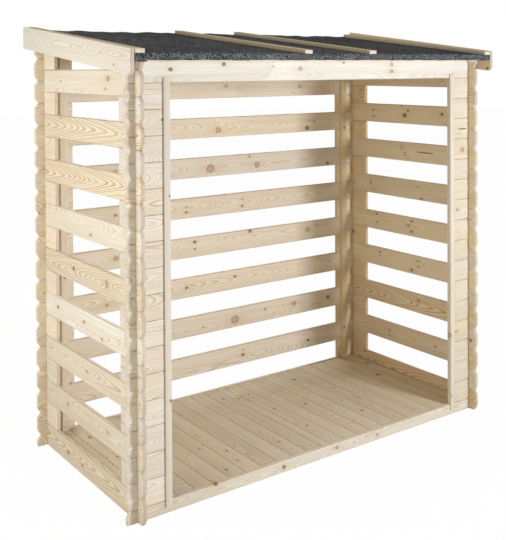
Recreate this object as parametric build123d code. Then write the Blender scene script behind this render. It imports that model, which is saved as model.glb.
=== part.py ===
"""Open-fronted log store built from interlocking 19 mm logs, with a felted mono-pitch roof.

Millimetres, +Z up.  The open front faces -Y, the high side of the roof is at +Y.
Ground is z = 0 and the footprint is centred on the Z axis.
"""
import os
from math import atan, cos, degrees, sin

from build123d import *

os.makedirs("parts", exist_ok=True)

# ---- log profile -----------------------------------------------------------
LOG_T = 19.0            # log thickness
PITCH = 114.0           # height that one log covers
HALF_LOG = PITCH / 2    # the front and back walls start with a half log
TONGUE_H = 2.0
TONGUE_W = 7.0
GROOVE_DEPTH = 3.0
GROOVE_W = 8.0
V_BEVEL = 2.5           # bevel along each long edge, two of them make the V joint
NOTCH_DEPTH = PITCH / 4
NOTCH_W = LOG_T + 0.8
END_CHAMFER_LEN = 17.0  # chamfered log ends: along the log
END_CHAMFER_H = 26.0    # and up or down the face
STUB = 48.5             # how far a log passes the outer face of the wall it crosses

# ---- walls -------------------------------------------------------------------
WIDTH = 2143.0          # outer face to outer face of the side walls
DEPTH = 993.0           # outer face to outer face of the front and back walls
HALF_W = WIDTH / 2
HALF_D = DEPTH / 2
FRONT_COURSES = 16      # short logs either side of the opening
SLAT_GAPS = 9           # ventilation gaps in the back wall, and rows of blocks in each wall
SIDE_FRONT_REACH = 150.0  # outer wall face to the sawn end of a block
SIDE_REAR_REACH = 147.0
BACK_REACH = 153.0
LONG_X = WIDTH + 2 * STUB
LONG_Y = DEPTH + 2 * STUB
LINTEL_Z = HALF_LOG + FRONT_COURSES * PITCH
EAVE_Z = LINTEL_Z + PITCH + TONGUE_H    # the roof rests on the tongue of the lintel log

# ---- roof --------------------------------------------------------------------
FALL = PITCH            # the roof drops one course from back to front
SLOPE = atan(FALL / DEPTH)
OVERHANG = 92.0
ROOF_HALF = 1124.0
ROOF_BOARD_T = 19.0
ROOF_BOARDS = 20
FELT_T = 4.0
FELT_DROP = 29.0
BATTEN_W = 46.0
BATTEN_T = 18.0
BATTEN_GAP = 3.5        # between the left edge batten and its bargeboard
LEFT_SEAM_X = -193.0    # the batten over each felt lap, at the eave
RIGHT_SEAM_X = 224.0
SEAM_SKEW = 0.6         # degrees that these two battens lean from square
EAVE_BATTEN_T = 25.0
BARGE_T = 19.0
BARGE_H = 112.0
BARGE_CLIP_Y = 16.0
BARGE_CLIP_Z = 21.0
BARGE_SHORT = 14.0      # the bargeboards stop short of the felt at the back
BARGE_PROUD = {-1: (0.5, 0.0), 1: (3.5, 14.0)}  # front and rear end above the edge batten

# ---- floor and trims -----------------------------------------------------------
FLOOR_TOP = HALF_LOG - 2.0
FLOOR_T = 18.0
FLOOR_HALF_COUNT = 11   # whole boards either side of the ripped one in the middle
FLOOR_RIPPED_W = 54.0
FLOOR_GAP = 1.0
BEARER_W = 45.0
LIP_W = 31.0
LIP_T = 8.0
LIP_LAP_LOW = 28.0
LIP_LAP_HIGH = 23.5
JAMB_OUTER = {-1: 136.0, 1: 147.0}  # outer wall face to the trim's lip, left and right
JAMB_WEB = 10.0
JAMB_DEPTH = 16.0
JAMB_TOP_GAP = 6.0
LOG_END_GAP = 1.0
TIE_W = 40.0
TIE_T = 19.0
TIE_OUTER = {-1: 77.0, 1: 86.0}     # outer wall face to the tie batten, left and right
TIE_TOP_GAP = 17.0


def save(name, *solids):
    """Write one node, from solids that don't touch each other."""
    body = solids[0] if len(solids) == 1 else Compound(children=list(solids))
    body.label = name
    export_step(body, f"parts/{name}.step")


def prism_x(points, length):
    """Extrude a (y, z) outline along +X from x = 0."""
    outline = Plane.YZ * make_face(Polyline(*points, close=True))
    return extrude(outline, amount=length)


def prism_y(points, thickness):
    """Extrude an (x, z) outline along +Y from y = 0."""
    outline = Plane.XZ * make_face(Polyline(*points, close=True))
    return extrude(outline, amount=-thickness)


def block(x0, x1, y0, y1, z0, z1):
    """A square-edged bar given by its two corners."""
    return Pos(x0, y0, z0) * Box(
        x1 - x0, y1 - y0, z1 - z0, align=(Align.MIN, Align.MIN, Align.MIN)
    )


def log_section(height, tongue, groove, inner_bevel):
    """Cross-section of a log as (y, z) points, its outer face at y = 0."""
    mid = LOG_T / 2
    inner = V_BEVEL if inner_bevel else 0
    points = [(0, height - V_BEVEL), (0, V_BEVEL), (V_BEVEL, 0)]
    if groove:
        half = GROOVE_W / 2
        points += [
            (mid - half, 0),
            (mid - half, GROOVE_DEPTH),
            (mid + half, GROOVE_DEPTH),
            (mid + half, 0),
        ]
    if inner_bevel:
        points += [(LOG_T - inner, 0), (LOG_T, inner), (LOG_T, height - inner)]
    else:
        points += [(LOG_T, 0)]
    points += [(LOG_T - inner, height)]
    if tongue:
        half = TONGUE_W / 2
        top = height + TONGUE_H
        points += [(mid + half, height), (mid + half, top), (mid - half, top), (mid - half, height)]
    return points + [(V_BEVEL, height)]


def log_outline(length, height, top, ends, full):
    """Side view of a log as (x, z) points, with its chamfered ends."""
    reach = END_CHAMFER_LEN
    rise = END_CHAMFER_H
    start, end = ends
    points = []
    if start:
        points += [(reach, top), (reach, height), (0, height - rise)]
        points += [(0, rise), (reach, 0)] if full else [(0, 0)]
    else:
        points += [(0, top), (0, 0)]
    if end:
        points += [(length - reach, 0), (length, rise)] if full else [(length, 0)]
        points += [(length, height - rise), (length - reach, height), (length - reach, top)]
    else:
        points += [(length, 0), (length, top)]
    return points


def log(length, notches, height=PITCH, ends=(True, True), tongue=True, groove=True, inner=True):
    """One log along +X from the origin, notched top and bottom where other logs cross it."""
    full = height == PITCH
    top = height + 2 * TONGUE_H
    section = prism_x(log_section(height, tongue, groove and full, inner), length)
    body = section & prism_y(log_outline(length, height, top, ends, full), LOG_T)
    half = NOTCH_W / 2
    for centre in notches:
        body -= block(centre - half, centre + half, 0, LOG_T, height - NOTCH_DEPTH, top)
        if full:
            body -= block(centre - half, centre + half, 0, LOG_T, 0, NOTCH_DEPTH)
    return body


def roof_space():
    """Everything above the underside of the roof boards."""
    reach = DEPTH
    front = -HALF_D - reach
    low = EAVE_Z - FALL
    high = EAVE_Z + 2 * FALL
    ceiling = 3 * PITCH + high
    points = [(front, low), (HALF_D + reach, high), (HALF_D + reach, ceiling), (front, ceiling)]
    return Pos(-WIDTH, 0, 0) * prism_x(points, 2 * WIDTH)


ROOF_SPACE = roof_space()


def under_roof(body):
    """Trim a log to the slope of the roof."""
    return body - ROOF_SPACE


def front_log(x0, z0, body):
    """Place a log that runs along the front wall."""
    return Pos(x0, -HALF_D, z0) * body


def back_log(x0, z0, body):
    """Place a log that runs along the back wall."""
    return mirror(front_log(x0, z0, body), about=Plane.XZ)


def side_log(side, y0, z0, body):
    """Place a log that runs along a side wall, side -1 for left and 1 for right."""
    placed = Pos(HALF_W, y0, z0) * (Rot(0, 0, 90) * body)
    return placed if side > 0 else mirror(placed, about=Plane.YZ)


def long_log(length, **form):
    """Log that runs the length of a wall and past both corners."""
    return log(length, (STUB + LOG_T / 2, length - STUB - LOG_T / 2), **form)


def short_log(reach, far, groove=True):
    """Short log at a corner, its chamfered end at the start, or at the far end."""
    length = STUB + reach
    crossing = STUB + LOG_T / 2
    if far:
        return log(
            length, (length - crossing,), ends=(False, True), tongue=False, groove=groove, inner=False
        )
    return log(length, (crossing,), ends=(True, False), tongue=False, groove=groove, inner=False)


def front_return(side):
    """Outer wall face to the sawn end of a short front log, inside the jamb trim."""
    return JAMB_OUTER[side] + LIP_W - JAMB_WEB - LOG_END_GAP


def build_front_wall():
    base = long_log(LONG_X, height=HALF_LOG, tongue=False)
    save("front_base_log", front_log(-LONG_X / 2, 0, base))

    left = short_log(front_return(-1), False, groove=False)
    right = short_log(front_return(1), True, groove=False)
    right_x = HALF_W - front_return(1)
    for name, first in (("even", 0), ("odd", 1)):
        heights = [HALF_LOG + k * PITCH for k in range(first, FRONT_COURSES, 2)]
        save(f"front_left_logs_{name}", *[front_log(-LONG_X / 2, z, left) for z in heights])
        save(f"front_right_logs_{name}", *[front_log(right_x, z, right) for z in heights])

    save("front_lintel_log", under_roof(front_log(-LONG_X / 2, LINTEL_Z, long_log(LONG_X))))


def build_eave_batten():
    """Batten under the eave, between the front corner stubs and flush with their ends."""
    half_x = HALF_W - LOG_T - LOG_END_GAP
    y0 = -HALF_D - STUB
    body = block(-half_x, half_x, y0, -HALF_D, EAVE_Z - EAVE_BATTEN_T, EAVE_Z)
    save("eave_batten", under_roof(body))


def build_back_wall():
    save("back_base_log", back_log(-LONG_X / 2, 0, long_log(LONG_X, height=HALF_LOG)))

    slat = long_log(LONG_X)
    left = short_log(BACK_REACH, False)
    right = short_log(BACK_REACH, True)
    gap_z = [HALF_LOG + 2 * k * PITCH for k in range(SLAT_GAPS)]
    logs = [back_log(-LONG_X / 2, z + PITCH, slat) for z in gap_z]
    save("back_wall_slats", *logs[:-1])
    save("back_top_log", under_roof(logs[-1]))
    save("back_left_blocks", *[back_log(-LONG_X / 2, z, left) for z in gap_z])
    save("back_right_blocks", *[back_log(HALF_W - BACK_REACH, z, right) for z in gap_z])


def build_side_wall(name, side):
    slat = long_log(LONG_Y)
    sill = long_log(LONG_Y, groove=False)
    start = -LONG_Y / 2
    slats = [side_log(side, start, 0, sill)]
    slats += [side_log(side, start, 2 * k * PITCH, slat) for k in range(1, SLAT_GAPS)]
    save(f"{name}_wall_slats", *slats)

    front = short_log(SIDE_FRONT_REACH, False)
    rear = short_log(SIDE_REAR_REACH, True)
    rear_y = HALF_D - SIDE_REAR_REACH
    gap_z = [(2 * k + 1) * PITCH for k in range(SLAT_GAPS)]
    fronts = [side_log(side, start, z, front) for z in gap_z]
    save(f"{name}_front_blocks", *fronts[:-1], under_roof(fronts[-1]))
    save(f"{name}_rear_blocks", *[side_log(side, rear_y, z, rear) for z in gap_z])
    top_z = gap_z[-1] + PITCH
    save(f"{name}_rear_top_block", under_roof(side_log(side, rear_y, top_z, rear)))


def build_jamb(name, side):
    """L-shaped trim over the sawn ends of the short front logs, its lip in front of them."""
    lip_out = HALF_W - JAMB_OUTER[side]
    lip_in = lip_out - LIP_W
    bottom = HALF_LOG - LIP_LAP_LOW
    top = LINTEL_Z + LIP_LAP_HIGH
    lip = block(lip_in, lip_out, -HALF_D - LIP_T, -HALF_D, bottom, top)
    web_y = -HALF_D + JAMB_DEPTH
    web = block(lip_in, lip_in + JAMB_WEB, -HALF_D, web_y, HALF_LOG, LINTEL_Z - JAMB_TOP_GAP)
    body = lip + web
    save(name, body if side > 0 else mirror(body, about=Plane.YZ))


def build_tie(name, side):
    """Upright batten that ties the rear blocks to the slats of the back wall."""
    y1 = HALF_D - LOG_T
    x1 = HALF_W - TIE_OUTER[side]
    body = block(x1 - TIE_W, x1, y1 - TIE_T, y1, FLOOR_TOP, EAVE_Z + FALL - TIE_TOP_GAP)
    save(name, body if side > 0 else mirror(body, about=Plane.YZ))


def build_floor():
    half_x = HALF_W - LOG_T - FLOOR_GAP
    half_y = HALF_D - LOG_T - FLOOR_GAP
    run = half_x - FLOOR_RIPPED_W / 2
    joints = [-half_x + run * k / FLOOR_HALF_COUNT for k in range(FLOOR_HALF_COUNT + 1)]
    joints += [-x for x in reversed(joints)]
    z0 = FLOOR_TOP - FLOOR_T
    boards = [
        block(x0, x1, -half_y, half_y, z0, FLOOR_TOP) for x0, x1 in zip(joints, joints[1:])
    ]
    save("floor_boards_even", *boards[0::2])
    save("floor_boards_odd", *boards[1::2])
    end = half_y - BEARER_W
    save(
        "floor_bearers",
        *[block(-half_x, half_x, y, y + BEARER_W, 0, z0) for y in (-half_y, -BEARER_W / 2, end)],
    )


ROOF_PLACE = Pos(0, -HALF_D, EAVE_Z) * Rot(degrees(SLOPE), 0, 0)
RUN = DEPTH / cos(SLOPE)
EAVE_Y = -OVERHANG / cos(SLOPE)
TOP_Y = RUN - EAVE_Y


def build_roof():
    board_w = 2 * ROOF_HALF / ROOF_BOARDS
    boards = [
        ROOF_PLACE * block(x, x + board_w, EAVE_Y, TOP_Y, 0, ROOF_BOARD_T)
        for x in [-ROOF_HALF + k * board_w for k in range(ROOF_BOARDS)]
    ]
    save("roof_boards_even", *boards[0::2])
    save("roof_boards_odd", *boards[1::2])

    felt_top = ROOF_BOARD_T + FELT_T
    drop = felt_top - FELT_DROP
    section = [
        (EAVE_Y - FELT_T, felt_top),
        (EAVE_Y - FELT_T, drop),
        (EAVE_Y, drop),
        (EAVE_Y, ROOF_BOARD_T),
        (TOP_Y, ROOF_BOARD_T),
        (TOP_Y, drop),
        (TOP_Y + FELT_T, drop),
        (TOP_Y + FELT_T, felt_top),
    ]
    felt = Pos(-ROOF_HALF, 0, 0) * prism_x(section, 2 * ROOF_HALF)
    save("roof_felt", ROOF_PLACE * felt)

    edge = ROOF_HALF - BATTEN_W / 2
    length = TOP_Y - EAVE_Y
    batten = block(-BATTEN_W / 2, BATTEN_W / 2, 0, length, felt_top, felt_top + BATTEN_T)
    for name, x, skew in (
        ("left_edge_batten", -edge + BATTEN_GAP, 0),
        ("left_seam_batten", LEFT_SEAM_X, SEAM_SKEW),
        ("right_seam_batten", RIGHT_SEAM_X, SEAM_SKEW),
        ("right_edge_batten", edge, 0),
    ):
        save(name, ROOF_PLACE * Pos(x, EAVE_Y, 0) * Rot(0, 0, skew) * batten)


def build_bargeboard(name, side):
    """Board on the edge of the roof, plumb at both ends, its front lower corner clipped."""
    cover = (ROOF_BOARD_T + FELT_T + BATTEN_T) / cos(SLOPE)
    depth = BARGE_H / cos(SLOPE)
    rise = FALL / DEPTH
    front = -HALF_D - OVERHANG - FELT_T
    back = -front - BARGE_SHORT
    proud_front, proud_back = BARGE_PROUD[side]
    lift = (proud_back - proud_front) / (back - front)

    def top(y):
        return EAVE_Z + (y + HALF_D) * rise + cover + proud_front + (y - front) * lift

    outline = [
        (front, top(front)),
        (front, top(front) - depth + BARGE_CLIP_Z),
        (front + BARGE_CLIP_Y, top(front + BARGE_CLIP_Y) - depth),
        (back, top(back) - depth),
        (back, top(back)),
    ]
    x0 = ROOF_HALF if side > 0 else -ROOF_HALF - BARGE_T
    save(name, Pos(x0, 0, 0) * prism_x(outline, BARGE_T))


build_front_wall()
build_eave_batten()
build_back_wall()
for wall, wall_side in (("left", -1), ("right", 1)):
    build_side_wall(wall, wall_side)
    build_jamb(f"{wall}_jamb_trim", wall_side)
    build_tie(f"back_{wall}_tie_batten", wall_side)
    build_bargeboard(f"{wall}_bargeboard", wall_side)
build_floor()
build_roof()
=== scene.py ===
"""Looks of the open-fronted log store: planed spruce logs and boards, mineral felt, studio light and camera.

Metres, +Z up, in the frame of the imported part.  The open front faces -Y.
"""
import math
import random

import bpy
import numpy as np
from mathutils import Matrix, Vector


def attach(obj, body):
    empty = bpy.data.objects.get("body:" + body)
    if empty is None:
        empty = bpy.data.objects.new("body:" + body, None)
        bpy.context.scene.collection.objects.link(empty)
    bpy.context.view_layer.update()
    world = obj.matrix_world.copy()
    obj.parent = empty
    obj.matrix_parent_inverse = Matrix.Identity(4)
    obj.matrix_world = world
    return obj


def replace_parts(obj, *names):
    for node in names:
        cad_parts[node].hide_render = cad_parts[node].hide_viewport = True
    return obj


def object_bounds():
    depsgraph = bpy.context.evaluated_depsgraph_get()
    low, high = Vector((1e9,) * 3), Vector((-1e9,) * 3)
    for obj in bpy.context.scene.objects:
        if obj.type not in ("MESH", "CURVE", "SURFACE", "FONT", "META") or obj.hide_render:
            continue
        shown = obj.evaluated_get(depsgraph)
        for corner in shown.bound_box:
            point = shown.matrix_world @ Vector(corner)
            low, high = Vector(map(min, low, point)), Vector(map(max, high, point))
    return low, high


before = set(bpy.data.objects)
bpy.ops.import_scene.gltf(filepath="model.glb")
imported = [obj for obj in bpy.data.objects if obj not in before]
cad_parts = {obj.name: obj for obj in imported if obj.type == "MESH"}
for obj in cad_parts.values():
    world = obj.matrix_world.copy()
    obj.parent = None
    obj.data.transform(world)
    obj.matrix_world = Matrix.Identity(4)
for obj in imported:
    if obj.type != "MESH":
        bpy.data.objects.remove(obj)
cad_lo, cad_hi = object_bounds()

MM = 0.001
X = Vector((1, 0, 0))
Y = Vector((0, 1, 0))
Z = Vector((0, 0, 1))
WHITE = (1, 1, 1, 1)

# ---- edges of the boards ---------------------------------------------------------
ARRIS = 0.9 * MM                    # rounding of every sawn or planed edge
FLOOR_ARRIS = 1.6 * MM
ARRIS_STEPS = 2
SHARP = math.radians(24)            # edges that turn more than this are rounded
SMOOTH = math.radians(30)           # edges that turn less than this are shaded as one face
SAME_POINT = 0.02 * MM              # points closer than this are merged
SAME_PLANE = math.radians(0.6)      # faces that turn less than this are joined
SQUARE_TO = 0.1                     # a face that faces a way by less than this runs along it
FACES_ALONG = 0.5                   # a face that faces along the grain by more than this is a sawn end
FACES_UP = 0.5
JOINT_SLOPE = (0.6, 0.8)            # how far the bevels along a log joint tilt: they are darkened with dust and painted shade


def roof_normal():
    """The way the roof faces, from the top of the felt."""
    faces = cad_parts["roof_felt"].data.polygons
    top = max((f for f in faces if f.normal.z > FACES_UP), key=lambda f: f.area)
    return top.normal.copy()


RAKE_UP = roof_normal()
RAKE = RAKE_UP.cross(X)

# Grain direction and face-width direction of the wood nodes.
ALONG_X = (X, Z)
ALONG_Y = (Y, Z)
UPRIGHT = (Z, X)
UP_ROOF = (RAKE, X)
ON_EDGE = (RAKE, RAKE_UP)
FLOORING = (Y, X)
CROSSWISE = (X, Y)


# ---- small helpers ---------------------------------------------------------------
def deselect_all():
    for o in bpy.context.selected_objects:
        o.select_set(False)


def activate(*objects):
    """Select these objects only, the first one active."""
    deselect_all()
    for o in objects:
        o.select_set(True)
    bpy.context.view_layer.objects.active = objects[0]


def apply_modifiers(o):
    activate(o)
    for m in list(o.modifiers):
        bpy.ops.object.modifier_apply(modifier=m.name)


def write_attribute(mesh, name, kind, domain, values):
    attribute = mesh.attributes.get(name) or mesh.attributes.new(name, kind, domain)
    field = "value" if kind == "FLOAT" else "vector"
    attribute.data.foreach_set(field, np.asarray(values, np.float32).ravel())


def write_board_value(mesh, name, vector):
    """Write one vector that is the same on the whole board."""
    write_attribute(mesh, name, "FLOAT_VECTOR", "POINT", np.tile(vector, (len(mesh.vertices), 1)))


# ---- shader building -------------------------------------------------------------
class Graph:
    """A node tree with short calls for the nodes that the materials here use."""

    def __init__(self, tree):
        self.tree = tree

    def node(self, kind, **settings):
        n = self.tree.nodes.new(kind)
        for key, value in settings.items():
            setattr(n, key, value)
        return n

    def feed(self, socket, value):
        if isinstance(value, bpy.types.NodeSocket):
            self.tree.links.new(value, socket)
        elif value is not None:
            socket.default_value = value

    def math(self, operation, a, b=None, clamp=False):
        n = self.node("ShaderNodeMath", operation=operation, use_clamp=clamp)
        for socket, value in zip(n.inputs, (a, b)):
            self.feed(socket, value)
        return n.outputs[0]

    def vector(self, operation, a, b=None, scale=None):
        n = self.node("ShaderNodeVectorMath", operation=operation)
        self.feed(n.inputs[0], a)
        self.feed(n.inputs[1], b)
        self.feed(n.inputs[3], scale)
        return n.outputs["Value" if operation == "LENGTH" else "Vector"]

    def split(self, vector):
        n = self.node("ShaderNodeSeparateXYZ")
        self.feed(n.inputs[0], vector)
        return n.outputs[0], n.outputs[1], n.outputs[2]

    def join(self, x, y, z):
        n = self.node("ShaderNodeCombineXYZ")
        for socket, value in zip(n.inputs, (x, y, z)):
            self.feed(socket, value)
        return n.outputs[0]

    def smooth(self, value, low, high, start=0.0, end=1.0):
        """Smooth step from start to end as value goes from low to high."""
        n = self.node("ShaderNodeMapRange", interpolation_type="SMOOTHSTEP")
        for socket, v in zip(n.inputs, (value, low, high, start, end)):
            self.feed(socket, v)
        return n.outputs[0]

    def span(self, value, low, high, start, end):
        n = self.node("ShaderNodeMapRange")
        for socket, v in zip(n.inputs, (value, low, high, start, end)):
            self.feed(socket, v)
        return n.outputs[0]

    def mix(self, factor, a, b, blend="MIX"):
        n = self.node("ShaderNodeMix", data_type="RGBA", blend_type=blend)
        self.feed(n.inputs[0], factor)
        self.feed(n.inputs[6], a)
        self.feed(n.inputs[7], b)
        return n.outputs[2]

    def noise(self, vector, scale=1.0, detail=2.0, roughness=0.5, colour=False):
        n = self.node("ShaderNodeTexNoise")
        self.feed(n.inputs["Vector"], vector)
        n.inputs["Scale"].default_value = scale
        n.inputs["Detail"].default_value = detail
        n.inputs["Roughness"].default_value = roughness
        return n.outputs["Color" if colour else "Fac"]

    def cells(self, vector, scale):
        n = self.node("ShaderNodeTexVoronoi")
        self.feed(n.inputs["Vector"], vector)
        n.inputs["Scale"].default_value = scale
        return n.outputs

    def attribute(self, name):
        return self.node("ShaderNodeAttribute", attribute_name=name).outputs

    def group(self, tree, **values):
        n = self.node("ShaderNodeGroup", node_tree=tree)
        for name, value in values.items():
            self.feed(n.inputs[name.replace("_", " ")], value)
        return n.outputs


SOCKET = {"F": "NodeSocketFloat", "V": "NodeSocketVector", "C": "NodeSocketColor"}


def new_group(name, inputs, outputs):
    """An empty shader node group with these named sockets, as (graph, inputs, outputs)."""
    tree = bpy.data.node_groups.new(name, "ShaderNodeTree")
    for direction, sockets in (("INPUT", inputs), ("OUTPUT", outputs)):
        for label, kind in sockets.items():
            tree.interface.new_socket(name=label, in_out=direction, socket_type=SOCKET[kind])
    g = Graph(tree)
    source = g.node("NodeGroupInput").outputs
    sink = g.node("NodeGroupOutput").inputs
    return g, source, sink


# ---- knots -----------------------------------------------------------------------
KNOT_SLOTS = ("knot_a", "knot_b", "knot_c", "knot_d", "knot_e", "knot_f", "knot_g", "knot_h")
EMPTY_SLOT = (0, 0, 0)
NO_KNOT = 0.5 * MM                  # a slot with a smaller radius holds no knot
LEAST_RADIUS = 1 * MM
KNOT_OVAL = 0.85                    # lengths along the grain count for less, so a knot is an oval
KNOT_WOBBLE = (0.75, 1.25)          # how far its outline strays in and out
KNOT_WOBBLES = 90                   # how often it does so, per metre
KNOT_RINGS = 3.4                    # rings in a knot, from its middle to its edge
KNOT_RING = (0.35, 0.95)            # parts of a ring between which it darkens
HEART_ENDS = (1.06, 0.84)           # in radii from the middle of the knot
RIM_BEGINS = (0.62, 0.98)
RIM_ENDS = (1.22, 1.02)
BEND = (3.4, 2.1)                   # the growth rings bend over this many radii along and across
BEND_DEPTH = 1.5                    # and by this many radii
HALO = (4.5, 1.7)                   # radii along and across of the browner wood about a knot
LIVE_KNOT = {"Heart": 0.45, "Rim": 0.42, "Ring": 0.6}   # how strongly a live knot shows against a dark one


def knot_group():
    """One knot at (along, across) with a radius: its heart, dark rim, and how far it pushes the rings out."""
    marks = ("Heart", "Rim", "Ring", "Swell", "Halo")
    g, given, out = new_group("knot", {"Grain": "V", "Knot": "V"}, dict.fromkeys(marks, "F"))
    along, across, _ = g.split(given["Grain"])
    knot_along, knot_across, signed = g.split(given["Knot"])
    radius = g.math("ABSOLUTE", signed)
    live = g.math("LESS_THAN", signed, 0.0)
    real = g.math("GREATER_THAN", radius, NO_KNOT)
    size = g.math("MAXIMUM", radius, LEAST_RADIUS)
    off_along = g.math("SUBTRACT", along, knot_along)
    off_across = g.math("SUBTRACT", across, knot_across)
    ragged = g.noise(given["Grain"], scale=KNOT_WOBBLES, detail=1)
    wobble = g.span(ragged, 0, 1, *KNOT_WOBBLE)
    distance = g.vector("LENGTH", g.join(g.math("MULTIPLY", off_along, KNOT_OVAL), off_across, 0.0))
    t = g.math("MULTIPLY", g.math("DIVIDE", distance, size), wobble)
    heart = g.smooth(t, *HEART_ENDS)
    rim = g.math("MULTIPLY", g.smooth(t, *RIM_BEGINS), g.smooth(t, *RIM_ENDS))
    rings = g.math("FRACT", g.math("MULTIPLY", t, KNOT_RINGS))
    ring = g.math("MULTIPLY", g.smooth(rings, *KNOT_RING), heart)

    def bulge(radii_along, radii_across):
        """1 at the knot, fading to 0 over so many radii along and across."""
        u = g.math("DIVIDE", off_along, g.math("MULTIPLY", size, radii_along))
        v = g.math("DIVIDE", off_across, g.math("MULTIPLY", size, radii_across))
        square = g.math("ADD", g.math("MULTIPLY", u, u), g.math("MULTIPLY", v, v))
        return g.math("EXPONENT", g.math("MULTIPLY", square, -1.0))

    for name, mark in (("Heart", heart), ("Rim", rim), ("Ring", ring)):
        strength = g.span(live, 0, 1, 1.0, LIVE_KNOT[name])
        g.feed(out[name], g.math("MULTIPLY", g.math("MULTIPLY", mark, real), strength))
    swell = g.math("MULTIPLY", bulge(*BEND), g.math("MULTIPLY", size, BEND_DEPTH))
    g.feed(out["Swell"], g.math("MULTIPLY", swell, real))
    g.feed(out["Halo"], g.math("MULTIPLY", bulge(*HALO), real))
    return g.tree


def knots_together(g, knot, grain):
    """The strongest heart, rim, ring and halo of a board's knots at each place, and the sum of the swells."""
    together = {"Heart": 0.0, "Rim": 0.0, "Ring": 0.0, "Swell": 0.0, "Halo": 0.0}
    for slot_name in KNOT_SLOTS:
        one = g.group(knot, Grain=grain, Knot=g.attribute(slot_name)["Vector"])
        for mark in together:
            together[mark] = g.math("ADD" if mark == "Swell" else "MAXIMUM", together[mark], one[mark])
    return together


# ---- spruce ----------------------------------------------------------------------
# How often each pattern changes, per metre along, across and through the grain.
DRIFT = (1.6, 1.2, 1.2)             # the heart of the tree wandering
RIPPLE = (9, 45, 45)                # small waves in the rings
FIBRE = (6, 420, 420)
STREAK = (1.3, 42, 42)
CLOUD = (1.4, 9, 9)
DRIFT_ACROSS = 100 * MM             # how far the heart wanders
DRIFT_THROUGH = 120 * MM
RIPPLE_DEPTH = 2.2 * MM
BOARD_SPREAD = 37.0                 # metres between the places where the boards read the patterns
UNEVEN_YEARS = 1.4                  # how far wide and narrow years shift the rings, in years
LATE_BEGINS = (0.30, 0.90)          # parts of a year between which the wood darkens
LATE_ENDS = (1.0, 0.93)             # and between which it is pale again
WEAK_YEAR = 0.35                    # how strongly the weakest year shows against the strongest
FIBRE_SHADE = (0.935, 1.05)         # what the darkest and the palest fibres multiply the colour by
CLOUD_SHADE = (0.975, 1.02)
HALO_STRENGTH = 0.28                # how far a halo, and a streak, goes towards the colour of late wood
STREAK_STRENGTH = 0.16
RESIN_STRENGTH = 0.8
ROUGHNESS = (0.60, 0.50)            # of early wood and of late wood
RELIEF = {"fibre": 0.45, "late": 0.5, "knot": 0.8}      # how high each stands, as a part of the relief
PATCH_WAVER = 6 * MM                # how far the edge of a change of tone strays
PATCH_START = (-2 * MM, 6 * MM)     # from its edge: where the tone begins to change, and where it has changed
PATCH_END = (340 * MM, 40 * MM)     # from its edge: where the change has faded out, and where it begins to
RESIN_HALF_WIDTH = 4.2 * MM
RESIN_WAVER = 4 * MM
DUST_AND_SHADE = (0.60, 0.50, 0.38, 1)        # colour of the bevels along a joint against the wood about them: dust with painted shade

# knot mark: how strongly it covers the wood, and with which colour
KNOT_PAINT = {"Heart": (0.80, "Knot wood"), "Ring": (0.5, "Bark"), "Rim": (0.9, "Bark")}


def growth_rings(g, grain, chance, place, ripple, swell, usual_spacing):
    """How much late wood shows: yearly rings about the heart of the tree, which lies behind the board."""
    contrast, wander, width = g.split(g.attribute("figure")["Vector"])
    pith_across, pith_behind, lean = g.split(g.attribute("pith")["Vector"])
    along, across, through = g.split(grain)
    first, second, third = g.split(chance)
    drift = g.noise(g.vector("MULTIPLY", place, DRIFT), detail=1, colour=True)
    drift = g.vector("SUBTRACT", drift, (0.5, 0.5, 0.5))
    _, drift_across, drift_through = g.split(g.vector("SCALE", drift, scale=wander))
    aside = g.math("SUBTRACT", across, pith_across)
    aside = g.math("ADD", aside, g.math("MULTIPLY", drift_across, DRIFT_ACROSS))
    behind = g.math("ADD", through, pith_behind)
    behind = g.math("ADD", behind, g.math("MULTIPLY", drift_through, DRIFT_THROUGH))
    radius = g.vector("LENGTH", g.join(0.0, aside, behind))
    radius = g.math("ADD", radius, g.math("MULTIPLY", along, lean))
    radius = g.math("ADD", radius, g.math("MULTIPLY", ripple, RIPPLE_DEPTH))
    radius = g.math("ADD", radius, swell)
    years = g.math("DIVIDE", radius, g.math("MULTIPLY", usual_spacing, width))
    uneven = g.noise(g.join(years, first, second), scale=0.45, detail=1)
    years = g.math("ADD", years, g.math("MULTIPLY", uneven, UNEVEN_YEARS))
    season = g.math("FRACT", years)
    late = g.math("MULTIPLY", g.smooth(season, *LATE_BEGINS), g.smooth(season, *LATE_ENDS))
    strong = g.noise(g.join(g.math("FLOOR", years), third, 0.0), scale=1.7, detail=0)
    late = g.math("MULTIPLY", late, g.smooth(strong, 0.2, 0.75, WEAK_YEAR, 1.0))
    return g.math("MULTIPLY", late, contrast, clamp=True)


def whorl_patch(g, along, across, streak):
    """A paler or darker patch that starts at a slanting line over the board and fades out beyond it."""
    turn, slant, paler = g.split(g.attribute("wedge")["Vector"])
    line = g.math("MULTIPLY", g.math("ABSOLUTE", across), slant)
    beyond = g.math("SUBTRACT", g.math("SUBTRACT", along, turn), line)
    beyond = g.math("ADD", beyond, g.span(streak, 0.3, 0.7, -PATCH_WAVER, PATCH_WAVER))
    patch = g.math("MULTIPLY", g.smooth(beyond, *PATCH_START), g.smooth(beyond, *PATCH_END))
    return g.math("MULTIPLY", patch, paler)


def resin_pocket(g, along, across, ripple):
    """A thin dark streak of resin in the grain."""
    resin_along, resin_across, reach = g.split(g.attribute("resin")["Vector"])
    far = g.math("DIVIDE", g.math("SUBTRACT", along, resin_along), reach)
    aside = g.math("SUBTRACT", across, resin_across)
    aside = g.math("ADD", aside, g.math("MULTIPLY", ripple, RESIN_WAVER))
    aside = g.math("DIVIDE", aside, RESIN_HALF_WIDTH)
    return g.smooth(g.vector("LENGTH", g.join(far, aside, 0.0)), 1.0, 0.75)


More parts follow.
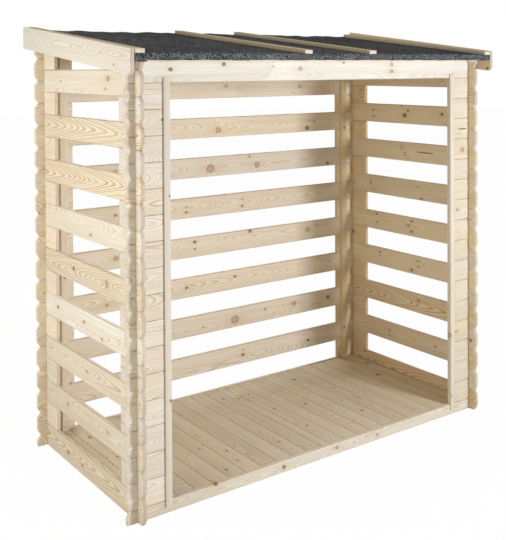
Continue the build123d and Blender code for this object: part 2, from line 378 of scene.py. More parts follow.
def spruce_group(knot):
    """Plain-sawn spruce: growth rings about a pith that wanders, fibres, knots and end grain."""
    g, given, out = new_group(
        "spruce",
        {"Early wood": "C", "Late wood": "C", "Knot wood": "C", "Bark": "C", "Ring spacing": "F"},
        {"Color": "C", "Roughness": "F", "Height": "F"},
    )
    grain = g.attribute("grain")["Vector"]
    chance = g.attribute("chance")["Vector"]
    along, across, _ = g.split(grain)
    place = g.vector("ADD", grain, g.vector("SCALE", chance, scale=BOARD_SPREAD))
    ripple = g.noise(g.vector("MULTIPLY", place, RIPPLE), detail=1)
    fibre = g.noise(g.vector("MULTIPLY", place, FIBRE), detail=2, roughness=0.6)
    streak = g.noise(g.vector("MULTIPLY", place, STREAK), detail=2)
    cloud = g.noise(g.vector("MULTIPLY", place, CLOUD), detail=1)
    knots = knots_together(g, knot, grain)
    late = growth_rings(g, grain, chance, place, ripple, knots["Swell"], given["Ring spacing"])

    wood = g.mix(late, given["Early wood"], given["Late wood"])
    wood = g.mix(g.math("MULTIPLY", knots["Halo"], HALO_STRENGTH), wood, given["Late wood"])
    wood = g.mix(g.smooth(streak, 0.35, 0.75, 0.0, STREAK_STRENGTH), wood, given["Late wood"])
    shade = g.span(fibre, 0.25, 0.75, *FIBRE_SHADE)
    shade = g.math("MULTIPLY", shade, g.span(cloud, 0.3, 0.7, *CLOUD_SHADE))
    shade = g.math("ADD", shade, whorl_patch(g, along, across, streak))
    tint = g.attribute("tint")["Vector"]
    wood = g.mix(1.0, wood, g.vector("SCALE", tint, scale=shade), "MULTIPLY")
    for mark, (strength, colour) in KNOT_PAINT.items():
        wood = g.mix(g.math("MULTIPLY", knots[mark], strength), wood, given[colour])
    pocket = resin_pocket(g, along, across, ripple)
    wood = g.mix(g.math("MULTIPLY", pocket, RESIN_STRENGTH), wood, given["Bark"])
    wood = g.mix(1.0, wood, g.attribute("end_grain")["Vector"], "MULTIPLY")
    # the bevels along a joint are darkened: dust, and painted shade in the V
    dusty_and_shaded = g.mix(1.0, wood, DUST_AND_SHADE, "MULTIPLY")
    wood = g.mix(g.attribute("joint")["Fac"], wood, dusty_and_shaded)
    g.feed(out["Color"], wood)
    g.feed(out["Roughness"], g.span(late, 0, 1, *ROUGHNESS))
    height = g.math("MULTIPLY", fibre, RELIEF["fibre"])
    height = g.math("ADD", height, g.math("MULTIPLY", late, RELIEF["late"]))
    height = g.math("ADD", height, g.math("MULTIPLY", knots["Heart"], RELIEF["knot"]))
    g.feed(out["Height"], height)
    return g.tree


def principled(name):
    """A new material with a Principled BSDF, as (material, graph, its inputs)."""
    material = bpy.data.materials.new(name)
    material.use_nodes = True
    material.node_tree.nodes.clear()
    g = Graph(material.node_tree)
    shader = g.node("ShaderNodeBsdfPrincipled")
    surface = g.node("ShaderNodeOutputMaterial")
    material.node_tree.links.new(shader.outputs[0], surface.inputs["Surface"])
    return material, g, shader.inputs


def add_bump(g, shader, height, strength, relief):
    """Let a height of 1 stand for that much relief in metres."""
    bump = g.node("ShaderNodeBump")
    bump.inputs["Strength"].default_value = strength
    bump.inputs["Distance"].default_value = relief
    g.feed(bump.inputs["Height"], height)
    g.feed(shader["Normal"], bump.outputs[0])


KNOT_WOOD = (0.36, 0.205, 0.105, 1)
BARK = (0.085, 0.045, 0.022, 1)
WOOD_BUMP = 0.5                     # how strongly the relief shows
FELT_BUMP = 0.7

# finish: early wood, late wood, width of a year, relief of the grain, gloss
SPRUCE = {
    "log": ((0.86, 0.795, 0.675, 1), (0.60, 0.37, 0.17, 1), 3.4 * MM, 0.5 * MM, 0.15),
    "trim": ((0.84, 0.78, 0.68, 1), (0.68, 0.52, 0.36, 1), 2.6 * MM, 0.3 * MM, 0.15),
    "floor": ((0.78, 0.70, 0.565, 1), (0.50, 0.35, 0.20, 1), 2.8 * MM, 0.4 * MM, 0.1),
    "roof": ((0.72, 0.62, 0.45, 1), (0.50, 0.36, 0.21, 1), 3.0 * MM, 0.5 * MM, 0.0),
}


def spruce_material(finish, tree):
    early, late, year, relief, gloss = SPRUCE[finish]
    material, g, shader = principled(f"{finish}_spruce")
    wood = g.group(
        tree, Early_wood=early, Late_wood=late, Knot_wood=KNOT_WOOD, Bark=BARK, Ring_spacing=year
    )
    g.feed(shader["Base Color"], wood["Color"])
    g.feed(shader["Roughness"], wood["Roughness"])
    shader["Specular IOR Level"].default_value = gloss
    add_bump(g, shader, wood["Height"], WOOD_BUMP, relief)
    return material


# ---- felt ------------------------------------------------------------------------
GRANULES = 350                      # per metre
GRANULE_CLUMPS = 150
FADED_PATCHES = 3.5
FADING = (0.85, 1.15)               # what the darkest and the palest patches multiply the colour by
PALE_FROM = (0.55, 1.0)             # granules by chance from 0 to 1: where they begin to be pale, and are
CLUMPS_FROM = (0.50, 0.70)
CLUMP_STRENGTH = 0.36
SELVEDGE_STRENGTH = 0.6
FELT_ROUGHNESS = 0.85
FELT_RELIEF = 1.2 * MM
BITUMEN = (0.026, 0.029, 0.033, 1)
PALE_GRANULE = (0.34, 0.365, 0.40, 1)
CLUMP = (0.30, 0.315, 0.345, 1)
SELVEDGE = (0.118, 0.116, 0.098, 1)     # the bare strip along the edge of a sheet


def felt_material():
    """Mineral roofing felt: charcoal granules pressed into bitumen."""
    material, g, shader = principled("mineral_felt")
    place = g.node("ShaderNodeTexCoord").outputs["Object"]
    grit = g.cells(place, scale=GRANULES)
    shade = g.split(grit["Color"])[0]
    patch = g.noise(place, scale=GRANULE_CLUMPS, detail=2)
    broad = g.noise(place, scale=FADED_PATCHES, detail=2)
    grey = g.mix(g.smooth(shade, *PALE_FROM), BITUMEN, PALE_GRANULE)
    grey = g.mix(g.math("MULTIPLY", g.smooth(patch, *CLUMPS_FROM), CLUMP_STRENGTH), grey, CLUMP)
    grey = g.mix(g.math("MULTIPLY", g.attribute("selvedge")["Fac"], SELVEDGE_STRENGTH), grey, SELVEDGE)
    fading = g.span(broad, 0.3, 0.7, *FADING)
    grey = g.mix(1.0, grey, g.join(fading, fading, fading), "MULTIPLY")
    g.feed(shader["Base Color"], grey)
    shader["Roughness"].default_value = FELT_ROUGHNESS
    shader["Specular IOR Level"].default_value = 0.0
    add_bump(g, shader, g.math("ADD", grit["Distance"], patch), FELT_BUMP, FELT_RELIEF)
    return material


def make_materials():
    tree = spruce_group(knot_group())
    made = {finish: spruce_material(finish, tree) for finish in SPRUCE}
    made["felt"] = felt_material()
    return made


materials = make_materials()

FELT_SHEET_T = 1.9 * MM             # one sheet; two lie one on the other at a lap
FELT_LAP = 100 * MM                 # how much of a sheet lies over the one before it
FELT_STEP_DOWN = 30 * MM            # the way over which it climbs down beside the lap
FELT_BEND = 10 * MM                 # radius of the folds at the eave and the rear edge
FELT_MESH = 9 * MM                  # width of the mesh across the roof
FOLD_TURNS = [math.radians(angle) for angle in range(0, 91, 15)]    # points round a fold
DROP_STEPS = 4
TOP_STEPS = 30
CROWDING = 1.4                      # above 1, the points on the top crowd towards the rear
LOOSE_FRONT = 100 * MM              # how far in from its edges the felt lies loose
LOOSE_BACK = 130 * MM
SOFT_EDGE = 8 * MM                  # over which a bare strip begins
FELT_SMOOTH = math.radians(40)
CORNER = 85 * MM                    # the front fold hangs lower over this much of its left end
CORNER_START = 12 * MM              # and comes down over this much
CORNER_HANG = 7 * MM
HANG = 3 * MM                       # how much the front fold hangs lower in places
TOP_WAVES = 1.0 * MM                # height of the waves all over the roof
FRONT_LIFT = 3.8 * MM               # how far the felt rises towards the front fold
BACK_WAVES = 9 * MM                 # height of the waves at the rear edge


def felt_ripple(x, *waves):
    """A few long waves along the roof, from 0 to 1: (length in metres, start)."""
    total = sum(math.sin(math.tau * x / length + start) for length, start in waves)
    return 0.5 + 0.5 * total / len(waves)


def felt_path(front, back, low, top):
    """The way of the felt over the roof, front to back: along, up, and the way it faces there."""
    shoulder = top - FELT_BEND
    drop = shoulder - low
    path = [(front, low + drop * k / DROP_STEPS, -1, 0) for k in range(DROP_STEPS)]
    for a in FOLD_TURNS:
        out_s, out_h = -math.cos(a), math.sin(a)
        path.append((front + FELT_BEND + FELT_BEND * out_s, shoulder + FELT_BEND * out_h, out_s, out_h))
    start = front + FELT_BEND
    run = back - FELT_BEND - start
    for k in range(1, TOP_STEPS):
        path.append((start + run * (1 - (1 - k / TOP_STEPS) ** CROWDING), top, 0, 1))
    for a in FOLD_TURNS:
        out_s, out_h = math.sin(a), math.cos(a)
        path.append((back - FELT_BEND + FELT_BEND * out_s, shoulder + FELT_BEND * out_h, out_s, out_h))
    path += [(back, shoulder - drop * k / DROP_STEPS, 1, 0) for k in range(1, DROP_STEPS + 1)]
    return path


def between(value):
    return min(1.0, max(0.0, value))


def felt_sheet(name, x0, x1, laps, bare):
    """One width of felt, folded over both edges; its first strip may lie over the last sheet."""
    points = [v.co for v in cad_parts["roof_felt"].data.vertices]
    front = min(p.dot(RAKE) for p in points)
    back = max(p.dot(RAKE) for p in points)
    top = max(p.dot(RAKE_UP) for p in points)
    low = min(p.dot(RAKE_UP) for p in points)
    path = felt_path(front, back, low, top)
    rows = len(path) - 1
    columns = round((x1 - x0) / FELT_MESH)
    bpy.ops.mesh.primitive_grid_add(x_subdivisions=columns, y_subdivisions=rows, size=1)
    sheet = bpy.context.object
    sheet.name = name
    strip = []
    for v in sheet.data.vertices:
        x = x0 + (x1 - x0) * (v.co.x + 0.5)
        s, h, out_s, out_h = path[round((v.co.y + 0.5) * rows)]
        drop = between((top - h) / (top - low))
        near_back = between(1 - (back - s) / LOOSE_BACK) ** 2
        near_front = between(1 - (s - front) / LOOSE_FRONT) ** 2
        lift = TOP_WAVES * felt_ripple(x, (0.19, 0.0), (0.31, 2.2)) + FRONT_LIFT * near_front
        lift += BACK_WAVES * felt_ripple(x, (0.21, 0.6), (0.137, 2.0), (0.44, 1.0)) * near_back
        sag = HANG * felt_ripple(x, (0.33, 0.5), (0.12, 1.5))
        sag += CORNER_HANG * between((cad_lo.x + CORNER - x) / CORNER_START)
        h += lift * (1 - drop) - sag * near_front * drop
        inset = FELT_SHEET_T
        if laps:
            inset *= between(1 - (x0 + FELT_LAP + FELT_STEP_DOWN - x) / FELT_STEP_DOWN)
        v.co = X * x + RAKE * (s - inset * out_s) + RAKE_UP * (h - inset * out_h)
        strip.append(between(1 - (x - x0 - bare) / SOFT_EDGE) if laps else 0.0)
    write_attribute(sheet.data, "selvedge", "FLOAT", "POINT", strip)
    solid = sheet.modifiers.new("thickness", "SOLIDIFY")
    solid.thickness = FELT_SHEET_T
    solid.offset = -1
    apply_modifiers(sheet)
    bpy.ops.object.shade_smooth_by_angle(angle=FELT_SMOOTH)
    sheet.data.materials.append(materials["felt"])
    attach(sheet, "root")
    return sheet


# ---- boards ----------------------------------------------------------------------
# node: (grain and face directions, material, record slot)
WOOD = {
    "front_base_log": (ALONG_X, "log", "log_wood"),
    "front_left_logs_even": (ALONG_X, "log", "log_wood"),
    "front_left_logs_odd": (ALONG_X, "log", "log_wood"),
    "front_right_logs_even": (ALONG_X, "log", "log_wood"),
    "front_right_logs_odd": (ALONG_X, "log", "log_wood"),
    "front_lintel_log": (ALONG_X, "log", "log_wood"),
    "back_base_log": (ALONG_X, "log", "log_wood"),
    "back_wall_slats": (ALONG_X, "log", "log_wood"),
    "back_left_blocks": (ALONG_X, "log", "log_wood"),
    "back_right_blocks": (ALONG_X, "log", "log_wood"),
    "back_top_log": (ALONG_X, "log", "log_wood"),
    "left_wall_slats": (ALONG_Y, "log", "log_wood"),
    "right_wall_slats": (ALONG_Y, "log", "log_wood"),
    "left_front_blocks": (ALONG_Y, "log", "log_wood"),
    "right_front_blocks": (ALONG_Y, "log", "log_wood"),
    "left_rear_blocks": (ALONG_Y, "log", "log_wood"),
    "right_rear_blocks": (ALONG_Y, "log", "log_wood"),
    "left_rear_top_block": (ALONG_Y, "log", "log_wood"),
    "right_rear_top_block": (ALONG_Y, "log", "log_wood"),
    "left_jamb_trim": (UPRIGHT, "trim", "trim_wood"),
    "right_jamb_trim": (UPRIGHT, "trim", "trim_wood"),
    "back_left_tie_batten": (UPRIGHT, "trim", "trim_wood"),
    "back_right_tie_batten": (UPRIGHT, "trim", "trim_wood"),
    "left_bargeboard": (ON_EDGE, "trim", "trim_wood"),
    "right_bargeboard": (ON_EDGE, "trim", "trim_wood"),
    "eave_batten": (ALONG_X, "trim", "trim_wood"),
    "left_edge_batten": (UP_ROOF, "roof", "roof_wood"),
    "left_seam_batten": (UP_ROOF, "roof", "roof_wood"),
    "right_seam_batten": (UP_ROOF, "roof", "roof_wood"),
    "right_edge_batten": (UP_ROOF, "roof", "roof_wood"),
    "floor_boards_even": (FLOORING, "floor", "floor_wood"),
    "floor_boards_odd": (FLOORING, "floor", "floor_wood"),
    "floor_bearers": (CROSSWISE, "floor", "floor_wood"),
    "roof_boards_even": (UP_ROOF, "roof", "roof_wood"),
    "roof_boards_odd": (UP_ROOF, "roof", "roof_wood"),
}

# Knots on the faces that show: node, board counted from the lowest (or from the left), then
# (along, across, radius).  Along and across run from -1 to 1 over the board, and the radius is in mm.
# A negative radius is a pale live knot, a positive one a dark one ringed with bark.
CLEAR = dict.fromkeys(range(8), [])     # short front logs with no knots
KNOTS = {
    "back_wall_slats": {
        7: [(0.05, 0.2, -8), (0.55, 0.0, -10), (0.5, 0.7, 3), (0.5, -0.7, 3)],
        6: [(0.0, -0.3, -16), (0.6, -0.6, 12), (0.65, 0.1, 5)],
        5: [(-0.05, -0.2, -22), (0.25, -0.2, -15), (0.2, 0.7, 5), (0.75, -0.7, 8), (-0.6, 0.1, -16)],
        4: [(-0.2, 0.1, -6), (-0.2, -0.4, 6), (0.15, 0.3, -6), (0.15, -0.4, 6), (0.6, -0.1, 3),
            (-0.6, 0.1, 6)],
        3: [(-0.15, 0.5, 8), (-0.15, -0.2, 5), (0.2, 0.8, 9), (0.6, 0.1, -13), (-0.6, 0.0, -12)],
        2: [(-0.2, 0.0, 7), (0.1, 0.3, 7), (-0.65, -0.3, -8)],
        1: [(0.1, -0.2, -22), (0.5, 0.2, -14), (0.3, 0.2, 5), (-0.1, -0.3, 4), (0.75, 0.1, 10)],
        0: [(0.15, -0.1, 8), (0.15, 0.4, -6), (0.6, -0.2, 8)],
    },
    "right_wall_slats": {
        8: [(-0.2, 0.1, -8)],
        7: [(0.5, 0.3, 5), (0.5, -0.4, 5), (0.0, -0.1, 12), (-0.05, 0.4, 6), (0.05, 0.9, 4),
            (-0.55, 0.2, 8)],
        6: [(0.05, 0.5, -6), (0.05, 0.2, 3), (0.0, -0.1, 4), (0.0, -0.4, -5), (-0.05, -0.7, 3)],
        5: [(0.55, 0.3, 5), (0.55, 0.0, -5), (0.5, -0.5, 4), (-0.2, 0.4, -5), (-0.25, -0.8, 6)],
        4: [(0.45, 0.7, 6), (0.45, -0.2, 5), (-0.1, 0.6, 6), (-0.05, 0.1, -9), (-0.1, -0.5, 7),
            (-0.65, 0.1, 5)],
        3: [(0.4, 0.5, 5), (0.4, 0.1, 4), (-0.2, 0.5, -6), (-0.2, -0.1, 5), (-0.1, -0.6, 8)],
        2: [(-0.2, 0.2, -8)],
        1: [(0.25, 0.1, 4), (0.25, -0.4, 4), (-0.45, 0.0, 5)],
        0: [(0.65, 0.8, 4)],
    },
    "right_rear_blocks": {3: [(0.3, 0.2, 11)], 7: [(-0.6, 0.5, 4), (-0.7, -0.3, 4)]},
    "left_wall_slats": {
        8: [(-0.45, 0.3, -12), (-0.4, -0.5, -6), (0.5, 0.0, 4)],
        7: [(0.5, 0.8, 4)],
        6: [(0.2, 0.0, -5)],
        5: [(-0.1, -0.5, 6)],
        4: [(0.25, 0.1, 9), (-0.4, 0.0, -14)],
        3: [(0.6, 0.1, 8), (0.05, 0.0, 7), (-0.3, -0.6, 5), (-0.6, 0.0, -4)],
        2: [(0.0, 0.0, 5)],
        1: [(0.4, 0.1, -9), (-0.4, 0.2, -8)],
        0: [(0.4, -0.1, 8), (0.1, -0.2, 6)],
    },
    "front_lintel_log": {
        0: [(-0.8, 0.0, 8), (-0.55, 0.4, 8), (-0.3, 0.6, 4), (-0.3, 0.2, -5), (-0.15, 0.0, -10),
            (0.1, 0.5, 5), (0.4, 0.3, -9), (0.4, -0.3, -10)],
    },
    "front_base_log": {0: [(-0.6, 0.9, 7), (-0.25, -0.1, 8), (0.05, 0.2, -8), (0.3, 0.0, -7)]},
    "front_left_logs_even": {**CLEAR, 7: [(0.8, 0.2, 6)]},
    "front_left_logs_odd": CLEAR,
    "front_right_logs_even": {**CLEAR, 6: [(-0.1, -0.1, -13)]},
    "front_right_logs_odd": {**CLEAR, 1: [(-0.6, 0.0, -6)], 4: [(-0.5, 0.0, -8)]},
    "floor_boards_even": {
        3: [(0.0, -0.3, 4), (-0.5, 0.2, 6), (-0.75, -0.2, 5)],
        5: [(0.7, 0.0, 6)],
        6: [(0.65, 0.3, 6), (0.1, 0.0, 6), (-0.5, 0.0, 6)],
        7: [(0.0, 0.0, 7)],
        8: [(0.7, 0.0, 9), (-0.55, 0.0, 7)],
        11: [(0.6, 0.0, 11)],
    },
    "floor_boards_odd": {
        0: [(0.65, 0.0, 8), (0.05, 0.2, 5)],
        2: [(-0.3, 0.1, 5), (-0.85, -0.3, 6)],
        4: [(-0.65, 0.0, 5)],
        5: [(0.6, 0.0, 6)],
        10: [(0.2, 0.0, 13)],
    },
}

# How strongly the growth rings show, from 0 to 1.
FIGURE = {
    "left_wall_slats": {8: 0.4, 7: 1.0, 6: 1.0, 5: 0.4, 4: 0.9, 3: 0.45, 2: 0.7, 1: 0.6, 0: 0.9},
    "right_wall_slats": {8: 0.35, 7: 0.3, 6: 0.3, 5: 0.35, 4: 0.5, 3: 0.4, 2: 1.0, 1: 0.6, 0: 1.0},
    "back_wall_slats": {7: 0.4, 6: 0.5, 5: 0.5, 4: 0.55, 3: 0.3, 2: 0.6, 1: 0.5, 0: 0.6},
    "front_lintel_log": {0: 0.25},
    "left_bargeboard": {0: 1.0},
    "front_right_logs_even": {0: 0.3, 1: 0.2, 2: 0.35, 3: 0.2, 4: 0.3, 5: 0.25, 6: 0.2, 7: 0.35},
    "front_right_logs_odd": {0: 0.2, 1: 0.35, 2: 0.25, 3: 0.3, 4: 0.2, 5: 0.35, 6: 0.3, 7: 0.2},
    "front_base_log": {0: 0.4},
}

# Where the heart of the tree lay: mm across the face, mm behind it, how far the cut leans out of the grain,
# and the width of the rings against the usual.
PITH = {
    "left_wall_slats": {
        7: (4, 28, -0.12, 2.9),
        6: (-4, 26, -0.13, 2.7),
        4: (-6, 32, 0.10, 2.3),
        2: (8, 34, -0.07, 1.8),
        0: (10, 34, -0.10, 2.4),
    },
    "right_wall_slats": {2: (0, 26, -0.12, 2.2), 0: (0, 22, 0.12, 2.3), 4: (5, 30, 0.05, 1.4)},
    "back_wall_slats": {
        6: (4, 30, 0.06, 1.2),
        5: (-8, 34, 0.05, 1.2),
        4: (2, 22, 0.07, 1.3),
        2: (6, 20, 0.08, 1.4),
        1: (-20, 30, 0.03, 1.0),
    },
    "floor_boards_even": {3: (0, 30, 0.05, 1.2), 8: (0, 26, -0.05, 1.2)},
    "floor_boards_odd": {4: (0, 28, 0.06, 1.2)},
}

# A change of tone across a board at a whorl of knots: how far along, its slant, and how much paler beyond.
WEDGE = {
    "front_lintel_log": {0: (-0.3, -0.7, 0.09)},
    "back_wall_slats": {7: (0.1, 0.5, -0.06), 6: (0.0, -0.6, 0.05)},
}

# Thin dark pockets of resin: how far along and across, and half the length in mm.
RESIN = {
    "right_wall_slats": {6: (-0.3, 0.1, 85)},
    "front_right_logs_odd": {6: (-0.1, 0.0, 45)},
}

# Boards paler or browner than the rest: what their colour is multiplied by. Some entries hold painted shade.
ALL = "all"
STAIN_AND_SHADE = {
    "front_lintel_log": {ALL: (0.97, 1.05, 1.20)},
    "front_base_log": {ALL: (1.0, 1.02, 1.05)},
    "front_left_logs_even": {ALL: (1.0, 1.03, 1.08)},
    "front_left_logs_odd": {ALL: (1.0, 1.03, 1.08)},
    "left_rear_blocks": {ALL: (1.06, 1.06, 1.07)},
    "left_jamb_trim": {ALL: (0.94, 0.97, 1.04)},
    "right_jamb_trim": {ALL: (0.95, 0.97, 1.0)},
    "front_right_logs_even": {ALL: (0.92, 0.92, 0.89)},
    "front_right_logs_odd": {ALL: (0.92, 0.92, 0.89)},
    "left_front_blocks": {ALL: (1.0, 1.04, 1.12)},
    "left_wall_slats": {1: (1.02, 1.04, 1.07), 3: (1.07, 1.11, 1.18), 5: (1.03, 1.04, 1.06)},
    "left_bargeboard": {ALL: (1.03, 1.07, 1.13)},
    # painted shade: the right wall, right rear blocks, right tie batten and right bargeboard are browner for
    # the warm shade on the right side
    "right_wall_slats": {ALL: (1.0, 0.95, 0.84)},
    "right_rear_blocks": {ALL: (0.97, 0.89, 0.74)},
    "back_right_blocks": {ALL: (0.97, 0.89, 0.74)},
    "back_right_tie_batten": {ALL: (0.95, 0.86, 0.68)},
    "right_bargeboard": {ALL: (0.96, 0.90, 0.80)},
    # floor boards 10 and 11 are browner: partly their own tone, partly painted shade from the right wall
    "floor_boards_even": {11: (0.92, 0.86, 0.77), 10: (0.99, 0.97, 0.94), 9: (1.03, 1.03, 1.03)},
    "floor_boards_odd": {10: (0.98, 0.94, 0.87), 9: (1.03, 1.03, 1.03)},
}

# What the colour of a sawn end is multiplied by, against the planed face of the same board.
SAWN = {
    ALL: (0.82, 0.775, 0.75),
    "front_left_logs_even": (0.97, 0.93, 0.91),
    "front_left_logs_odd": (0.97, 0.93, 0.91),
    "front_lintel_log": (0.97, 0.93, 0.91),
    "front_base_log": (0.97, 0.93, 0.91),
    # painted light: the back wall's sawn ends are lighter than its faces, to brighten the shaded stubs at the
    # left rear corner
    "back_wall_slats": (1.06, 1.02, 0.96),
    "back_left_blocks": (1.06, 1.02, 0.96),
    "back_base_log": (1.06, 1.02, 0.96),
    "back_top_log": (1.06, 1.02, 0.96),
    "left_edge_batten": (1.16, 1.22, 1.48),
    "left_seam_batten": (1.16, 1.22, 1.48),
    "right_seam_batten": (1.16, 1.22, 1.48),
    "right_edge_batten": (1.16, 1.22, 1.48),
}

# Chance knots, on boards with none listed.
CHANCE_KNOTS = 6                    # the most on one board
KNOTTY = 0.3                        # chance of each on a board of 2 m or longer, and less on a shorter one
CHANCE_RADII = (3, 4, 5, 7, -6, -9)

# What differs from board to board by chance.
CONTRAST = (0.4, 0.85)              # how strongly the rings show
RING_WIDTH = (0.8, 1.25)
TONE = (-0.05, 0.04)
WARMTH = (-0.03, 0.04)
WARMTH_GREEN = 0.4                  # how much of the warmth is taken from green, and from blue
WARMTH_BLUE = 1.4
PITH_ACROSS = (-45, 45)             # mm
PITH_BEHIND = (18, 75)              # mm
LEAN = (-0.03, 0.03)
WANDER = 1.0                        # how far the heart wanders
LISTED_WANDER = 0.45                # and how far on a board that has it listed
NO_WEDGE = (9, 0, 0)                # both lie far past the end of the board
NO_RESIN = (9, 0, 1)


def board_knots(node, index, half_along, half_across, chance):
    """The knots of one board in its own grain coordinates: the placed ones, or some by chance."""
    placed = KNOTS.get(node, {}).get(index)
    if placed is None:
        placed = [
            (chance.uniform(-1, 1), chance.uniform(-1, 1), chance.choice(CHANCE_RADII))
            for _ in range(CHANCE_KNOTS)
            if chance.random() < KNOTTY * min(1.0, half_along)
        ]
    return [(a * half_along, b * half_across, radius * MM) for a, b, radius in placed]


def board_colour(node, index, chance):
    """The stain or painted shade of one board, with a little chance in its tone and warmth."""
    tone = chance.uniform(*TONE)
    warmth = chance.uniform(*WARMTH)
    stains_and_shade = STAIN_AND_SHADE.get(node, {})
    colour = np.array(stains_and_shade.get(index, stains_and_shade.get(ALL, WHITE[:3])))
    return colour * (1 + tone) * np.array((1, 1 - WARMTH_GREEN * warmth, 1 - WARMTH_BLUE * warmth))


def write_face_values(mesh, node, axes):
    """Mark the sawn ends of a board, and the bevels along its joints, which are darkened with dust and
    painted shade.
    """
    normals = np.empty(len(mesh.polygons) * 3, np.float32)
    mesh.polygons.foreach_get("normal", normals)
    along, across, through = np.abs(normals.reshape(-1, 3) @ axes.T).T
    sawn = np.where(along[:, None] > FACES_ALONG, SAWN.get(node, SAWN[ALL]), WHITE[:3])
    write_attribute(mesh, "end_grain", "FLOAT_VECTOR", "FACE", sawn)
    if node.startswith("floor_boards"):
        bevel = (across > SQUARE_TO) & (through > SQUARE_TO)
    else:
        bevel = (across > JOINT_SLOPE[0]) & (across < JOINT_SLOPE[1])
    bevel &= along < SQUARE_TO
    write_attribute(mesh, "joint", "FLOAT", "FACE", bevel.astype(np.float32))


def write_grain(board, node, index, along, across):
    """Write the grain coordinates, the chance numbers, the knots and the colour of one board."""
    mesh = board.data
    points = np.empty(len(mesh.vertices) * 3, np.float32)
    mesh.vertices.foreach_get("co", points)
    points = points.reshape(-1, 3)
    middle = Vector((points.min(0) + points.max(0)) / 2)
    axes = np.array([along, across, along.cross(across)])
    local = (points - np.array(middle)) @ axes.T
    half_along, half_across, _ = (local.max(0) - local.min(0)) / 2
    write_attribute(mesh, "grain", "FLOAT_VECTOR", "POINT", local)

    chance = random.Random(f"{node} {index}")
    write_board_value(mesh, "chance", [chance.random() for _ in range(3)])
    contrast = FIGURE.get(node, {}).get(index, chance.uniform(*CONTRAST))
    width = chance.uniform(*RING_WIDTH)
    write_board_value(mesh, "tint", board_colour(node, index, chance))
    heart = (chance.uniform(*PITH_ACROSS), chance.uniform(*PITH_BEHIND), chance.uniform(*LEAN))
    wander = WANDER
    if index in PITH.get(node, {}):
        *heart, width = PITH[node][index]
        wander = LISTED_WANDER
    write_board_value(mesh, "figure", (contrast, wander, width))
    write_board_value(mesh, "pith", (heart[0] * MM, heart[1] * MM, heart[2]))
    turn, slant, paler = WEDGE.get(node, {}).get(index, NO_WEDGE)
    write_board_value(mesh, "wedge", (turn * half_along, slant, paler))
    resin_along, resin_across, reach = RESIN.get(node, {}).get(index, NO_RESIN)
    write_board_value(mesh, "resin", (resin_along * half_along, resin_across * half_across, reach * MM))
    knots = board_knots(node, index, half_along, half_across, chance)
    knots += [EMPTY_SLOT] * (len(KNOT_SLOTS) - len(knots))
    for name, knot in zip(KNOT_SLOTS, knots):
        write_board_value(mesh, name, knot)
    write_face_values(mesh, node, axes)


def board_place(board):
    """Where a board is counted: from the lowest up, then from the left, then from the front."""
    centre = sum((v.co for v in board.data.vertices), Vector()) / len(board.data.vertices)
    return round(centre.z, 3), round(centre.x, 3), round(centre.y, 3)


def planed(node):
    """Dress the boards of a CAD node: arrises rounded, each board with its own grain."""
    (along, across), finish, slot = WOOD[node]
    piece = bpy.data.objects.new(f"{node}_planed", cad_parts[node].data.copy())
    bpy.context.scene.collection.objects.link(piece)
    activate(piece)
    bpy.ops.object.mode_set(mode="EDIT")
    bpy.ops.mesh.select_all(action="SELECT")
    bpy.ops.mesh.remove_doubles(threshold=SAME_POINT)
    bpy.ops.mesh.dissolve_limited(angle_limit=SAME_PLANE)
    bpy.ops.object.mode_set(mode="OBJECT")
    bevel = piece.modifiers.new("arris", "BEVEL")
    bevel.width = FLOOR_ARRIS if finish == "floor" else ARRIS
    bevel.segments = ARRIS_STEPS
    bevel.limit_method = "ANGLE"
    bevel.angle_limit = SHARP
    bevel.use_clamp_overlap = False
    apply_modifiers(piece)
    piece.data.materials.clear()
    piece.data.materials.append(materials[finish])
    bpy.ops.object.mode_set(mode="EDIT")
    bpy.ops.mesh.select_all(action="SELECT")
    bpy.ops.mesh.separate(type="LOOSE")
    bpy.ops.object.mode_set(mode="OBJECT")
    boards = sorted(bpy.context.selected_objects, key=board_place)
    for index, board in enumerate(boards):
        write_grain(board, node, index, along, across)
    activate(*boards)
    if len(boards) > 1:
        bpy.ops.object.join()
    piece = bpy.context.view_layer.objects.active
    piece.name = f"{node}_planed"
    bpy.ops.object.shade_smooth_by_angle(angle=SMOOTH)
    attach(piece, "root")
    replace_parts(piece, node)
    return piece


for wood_node in WOOD:
    planed(wood_node)

FELT_EDGE = 19.5 * MM               # from the side of the roof to the felt, just inside the bargeboard

# sheet: left and right edge, whether it laps over the last sheet, width of its bare strip
FELT_SHEETS = {
    "left_felt_sheet": (cad_lo.x + FELT_EDGE, -0.2, False, 0),
    "middle_felt_sheet": (-0.296, 0.31, True, 0.115),
    "right_felt_sheet": (0.217, cad_hi.x - FELT_EDGE, True, 0.110),
}
for sheet_name, layout in FELT_SHEETS.items():
    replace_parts(felt_sheet(sheet_name, *layout), "roof_felt")


# ---- studio ----------------------------------------------------------------------
FLOOR_PAINT = (0.82, 0.80, 0.74, 1)
FLOOR_GAP = 0.5 * MM                # the floor lies this far under the store
FLOOR_SIZE = 60                     # metres
FLOOR_SEEN = 0.98                   # how much of the floor's look is plain white, which leaves a faint shadow
WORLD_LEVEL = 0.27
WORLD_COLOUR = (1.0, 0.89, 0.68, 1)

# lamp: place, target, size, watts, colour
LAMPS = {
    "key": ((1.81, -4.48, 1.8), (-1.6, -2.3, 1.4), (1.0, 1.0), 172, (0.975, 1.0, 1.06)),
    "left_fill": ((-3.4, -0.3, 1.85), (-1.07, 0, 1.15), (2.2, 1.9), 50, (0.985, 1.0, 0.985)),
    "back_fill": ((0.4, 4.4, 2.3), (0, 0.5, 1.0), (3.2, 2.4), 60, (1.0, 0.99, 0.94)),
    "roof_fill": ((-0.3, -0.2, 4.4), (-0.1, 0, 2.1), (1.6, 1.6), 15, (1.0, 0.99, 0.95)),
}


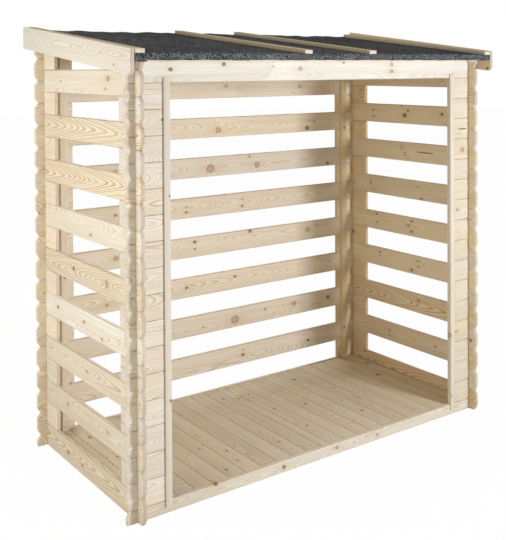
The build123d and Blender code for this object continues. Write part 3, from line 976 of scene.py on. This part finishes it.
def seen_by_eye(g):
    """1 for rays from the camera and in gloss or glass."""
    path = g.node("ShaderNodeLightPath").outputs
    seen = g.math("MAXIMUM", path["Is Camera Ray"], path["Is Glossy Ray"])
    return g.math("MAXIMUM", seen, path["Is Transmission Ray"])


def studio_floor():
    """Plain white to the eye, with a faint shadow; pale paint to the light."""
    bpy.ops.mesh.primitive_plane_add(size=FLOOR_SIZE, location=(0, 0, cad_lo.z - FLOOR_GAP))
    floor = bpy.context.object
    floor.name = "studio_floor"
    material = bpy.data.materials.new("studio_floor")
    material.use_nodes = True
    material.node_tree.nodes.clear()
    g = Graph(material.node_tree)
    paint = g.node("ShaderNodeBsdfDiffuse")
    paint.inputs["Color"].default_value = FLOOR_PAINT
    glow = g.node("ShaderNodeEmission")
    glow.inputs["Color"].default_value = WHITE
    mix = g.node("ShaderNodeMixShader")
    g.feed(mix.inputs[0], g.math("MULTIPLY", seen_by_eye(g), FLOOR_SEEN))
    g.feed(mix.inputs[1], paint.outputs[0])
    g.feed(mix.inputs[2], glow.outputs[0])
    g.feed(g.node("ShaderNodeOutputMaterial").inputs["Surface"], mix.outputs[0])
    floor.data.materials.append(material)


def studio_world():
    """Plain white to the eye; a soft warm light to everything else."""
    world = bpy.data.worlds.new("studio")
    world.use_nodes = True
    world.node_tree.nodes.clear()
    g = Graph(world.node_tree)
    light = g.node("ShaderNodeBackground")
    seen = seen_by_eye(g)
    g.feed(light.inputs["Color"], g.mix(seen, WORLD_COLOUR, WHITE))
    g.feed(light.inputs["Strength"], g.span(seen, 0, 1, WORLD_LEVEL, 1.0))
    g.feed(g.node("ShaderNodeOutputWorld").inputs["Surface"], light.outputs[0])
    bpy.context.scene.world = world


def softbox(name, place, target, size, power, colour):
    data = bpy.data.lights.new(name, "AREA")
    data.shape = "RECTANGLE"
    data.size, data.size_y = size
    data.energy = power
    data.color = colour
    lamp = bpy.data.objects.new(name, data)
    lamp.location = place
    lamp.visible_camera = False
    lamp.rotation_euler = (Vector(target) - Vector(place)).to_track_quat("-Z", "Y").to_euler()
    bpy.context.scene.collection.objects.link(lamp)


studio_floor()
studio_world()
for lamp_name, setting in LAMPS.items():
    softbox(lamp_name, *setting)


# ---- camera ----------------------------------------------------------------------
CAMERA_PLACE = Vector((-2.8463, -3.8042, 1.9470))
YAW = 0.6265                        # radians from +Y towards +X
PITCH = -0.0154                     # radians up
ROLL = -0.0051                      # radians, the right side up
LENS = 58.48                        # mm
SENSOR = 36                         # mm
SHIFT_Y = -0.3506                   # a lens shifted down, so that the camera stays level and uprights upright


def place_camera():
    data = bpy.data.cameras.new("camera")
    data.lens = LENS
    data.sensor_width = SENSOR
    data.shift_y = SHIFT_Y
    data.clip_end = 100
    camera = bpy.data.objects.new("camera", data)
    level = Vector((math.sin(YAW), math.cos(YAW), 0))
    side = Vector((math.cos(YAW), -math.sin(YAW), 0))
    ahead = level * math.cos(PITCH) + Z * math.sin(PITCH)
    above = -level * math.sin(PITCH) + Z * math.cos(PITCH)
    right = side * math.cos(ROLL) + above * math.sin(ROLL)
    up = -side * math.sin(ROLL) + above * math.cos(ROLL)
    turn = Matrix((right, up, -ahead)).transposed()
    camera.matrix_world = Matrix.Translation(CAMERA_PLACE) @ turn.to_4x4()
    bpy.context.scene.collection.objects.link(camera)
    bpy.context.scene.camera = camera


place_camera()
bpy.context.scene.view_settings.view_transform = "Standard"
